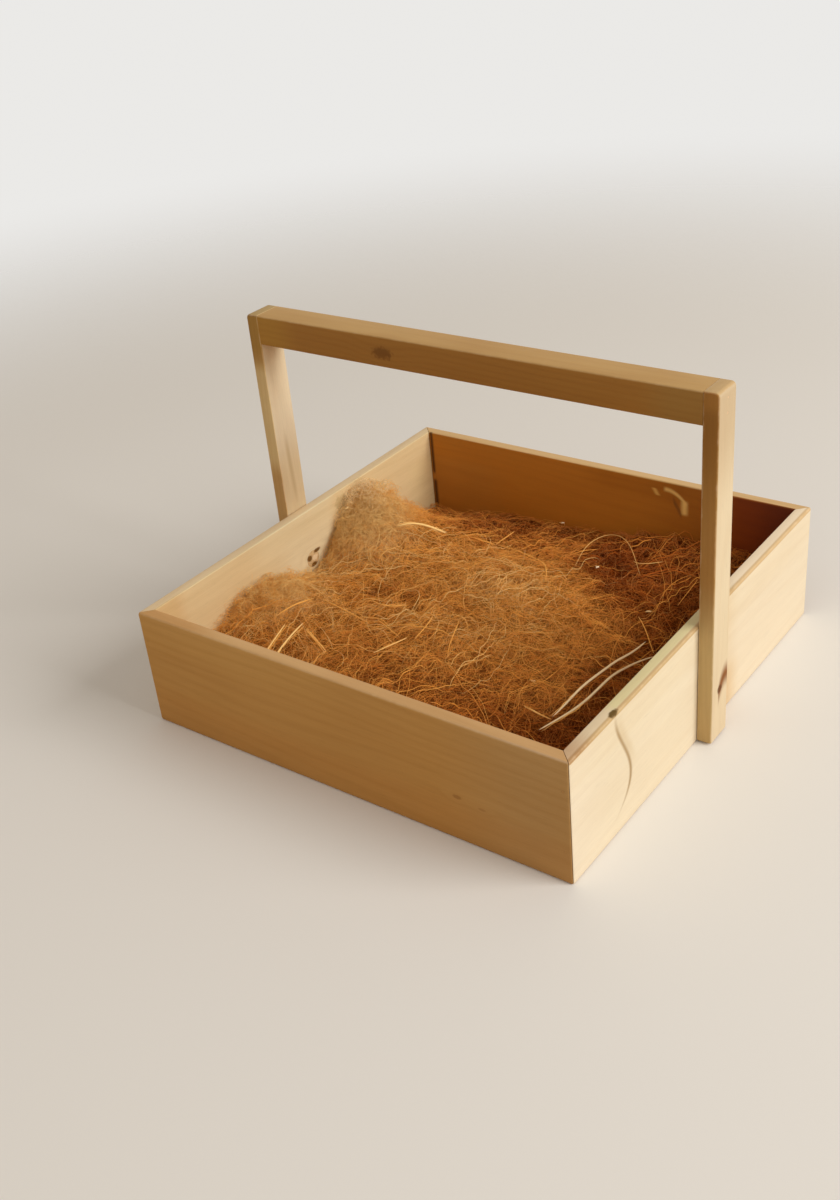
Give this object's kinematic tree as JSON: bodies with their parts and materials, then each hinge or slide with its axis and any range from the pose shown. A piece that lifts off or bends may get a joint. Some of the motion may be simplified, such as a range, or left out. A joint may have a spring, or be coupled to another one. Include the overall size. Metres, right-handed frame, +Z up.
{
  "type": "berry basket",
  "caption": "Shallow open wooden box with mitred boards and a fixed rectangular wooden handle, lined with a loose bed of fine golden brown fibre for berries.",
  "frame": {"origin": "middle of the box on the plane that its four boards stand on", "axes": "+X from the left board to the right board, along the handle's bar; +Y from the front board to the back board; +Z up"},
  "size_m": [0.3186, 0.3, 0.218],
  "materials": {
    "front_board": "matte",
    "back_board": "matte",
    "left_board": "matte",
    "right_board": "matte",
    "bottom_panel": "matte",
    "handle": "matte",
    "handle_bar": "matte",
    "fibre": "matte",
    "steel": "satin"
  },
  "bodies": {
    "basket": {"front_board": "front_board", "back_board": "back_board", "left_board": "left_board", "right_board": "right_board", "bottom_panel": "bottom_panel", "left_post": "handle", "right_post": "handle", "handle_bar": "handle_bar", "left_dowel": "handle", "right_dowel": "handle", "front_left_pin_low": "steel", "front_left_pin_high": "steel", "front_right_pin_low": "steel", "front_right_pin_high": "steel", "back_left_pin_low": "steel", "back_left_pin_high": "steel", "back_right_pin_low": "steel", "back_right_pin_high": "steel", "left_post_pin": "steel", "right_post_pin": "steel", "left_bar_pin_low": "steel", "left_bar_pin_high": "steel", "right_bar_pin_low": "steel", "right_bar_pin_high": "steel"},
    "bedding": {"bedding": "fibre"}
  },
  "joints": [
    {"name": "bedding_lift", "type": "slide", "parent": "basket", "child": "bedding", "axis": [0, 0, 1], "range_m": [0, 0.1]}
  ]
}
